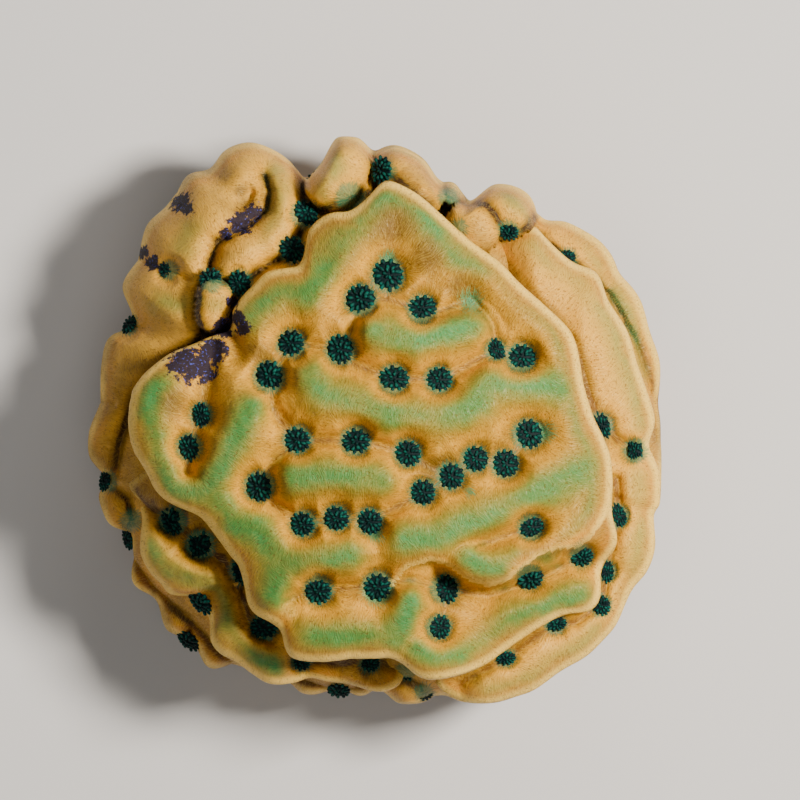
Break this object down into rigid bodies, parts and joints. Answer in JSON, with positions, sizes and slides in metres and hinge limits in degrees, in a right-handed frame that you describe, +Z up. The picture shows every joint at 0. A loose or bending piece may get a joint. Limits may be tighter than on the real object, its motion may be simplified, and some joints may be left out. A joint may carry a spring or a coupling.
{
  "type": "montipora coral",
  "caption": "Encrusting coral colony of stacked lobed plates with winding ridges on a mound, cut flat at the base.",
  "frame": {"origin": "middle of the flat cut base, below the middle of the colony's outline", "axes": "+Z up out of the colony's face, +X to the right of the picture, +Y to the top of the picture"},
  "size_m": [0.0796, 0.0788, 0.0459],
  "materials": {
    "crown_tissue": "moist living tissue over skeleton, tan with green crests",
    "left_tissue": "moist living tissue over skeleton, tan and orange",
    "right_tissue": "moist living tissue over skeleton, tan and orange",
    "mound_tissue": "moist living tissue over skeleton, orange-brown"
  },
  "bodies": {
    "root": {"crown_plate": "crown_tissue", "left_plate": "left_tissue", "right_plate": "right_tissue", "mound": "mound_tissue"}
  },
  "joints": []
}
